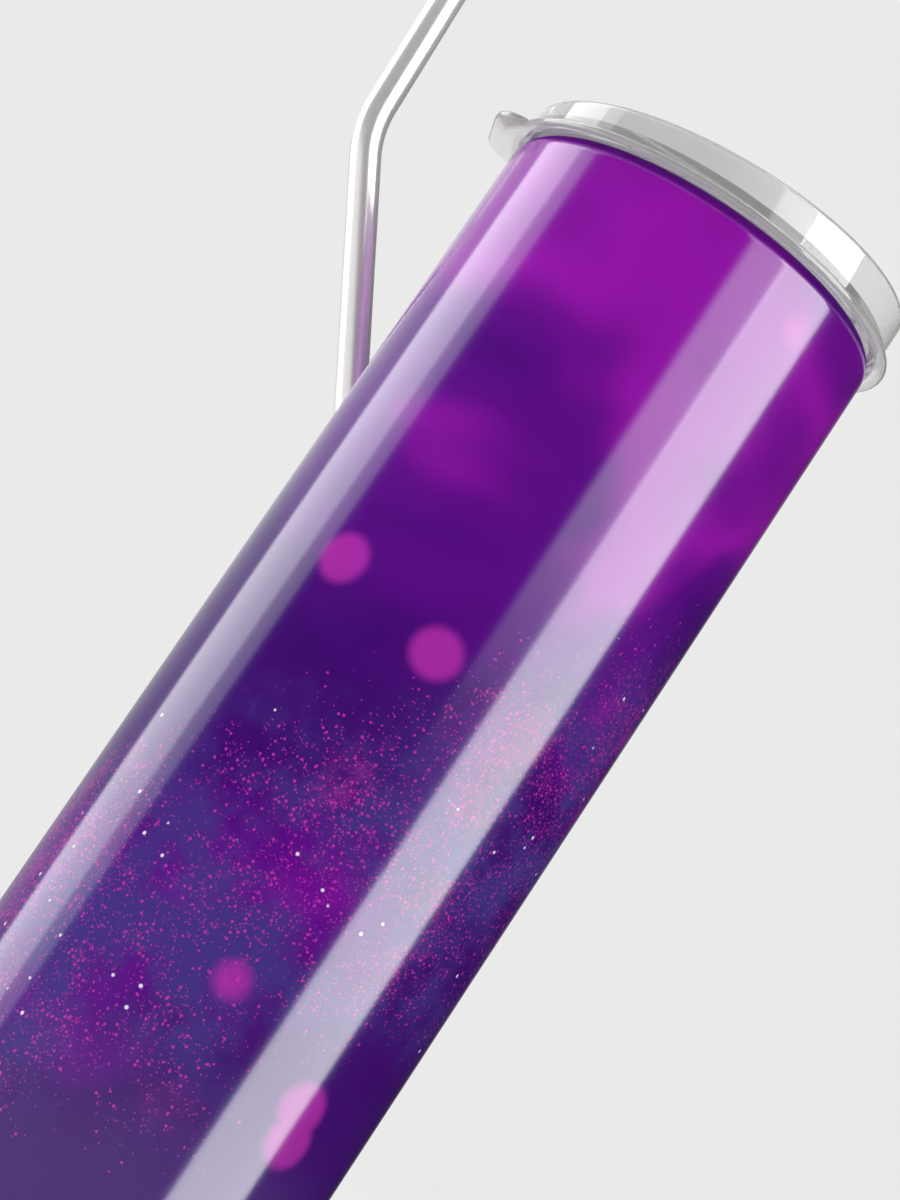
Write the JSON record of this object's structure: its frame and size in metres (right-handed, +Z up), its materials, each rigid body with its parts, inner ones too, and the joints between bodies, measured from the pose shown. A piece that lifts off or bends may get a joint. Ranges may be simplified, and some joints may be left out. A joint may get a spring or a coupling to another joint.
{
  "type": "insulated tumbler",
  "caption": "Slim straight vacuum-insulated tumbler with a glossy printed wall, a clear press-in lid with a lift tab, a slider over its straw hole, and a bent metal straw.",
  "frame": {"origin": "centre of the foot ring, on the table", "axes": "+Z up along the body's axis, +X to the drinking side, the lift tab on -X, the straw behind on +Y"},
  "size_m": [0.1247, 0.0909, 0.2458],
  "materials": {
    "printed_coat": "glossy clear-coated violet and magenta glitter print",
    "steel": "satin stainless",
    "copper": "bright copper foil",
    "seal_glass": "fused glass bead",
    "getter_alloy": "sintered dark grey",
    "clear_plastic": "clear moulded, polished",
    "silicone": "translucent matte",
    "straw_steel": "polished stainless"
  },
  "bodies": {
    "vessel": {"outer_shell": "printed_coat", "inner_liner": "steel", "copper_foil": "copper", "base_plate": "steel", "port_seal": "seal_glass", "getter": "getter_alloy", "getter_clip": "steel"},
    "lid": {"lid": "clear_plastic", "lid_gasket": "silicone"},
    "slider": {"slider": "clear_plastic", "slider_seal": "silicone"},
    "straw": {"straw": "straw_steel"}
  },
  "joints": [
    {"name": "lid_lift", "type": "slide", "parent": "vessel", "child": "lid", "axis": [0, 0, 1], "range_m": [0, 0.1]},
    {"name": "slider_slide", "type": "slide", "parent": "lid", "child": "slider", "axis": [1, 0, 0], "range_m": [0, 0.014]},
    {"name": "straw_lift", "type": "slide", "parent": "vessel", "child": "straw", "axis": [-0.5083, -0.0832, 0.8572], "range_m": [0, 0.15]}
  ]
}
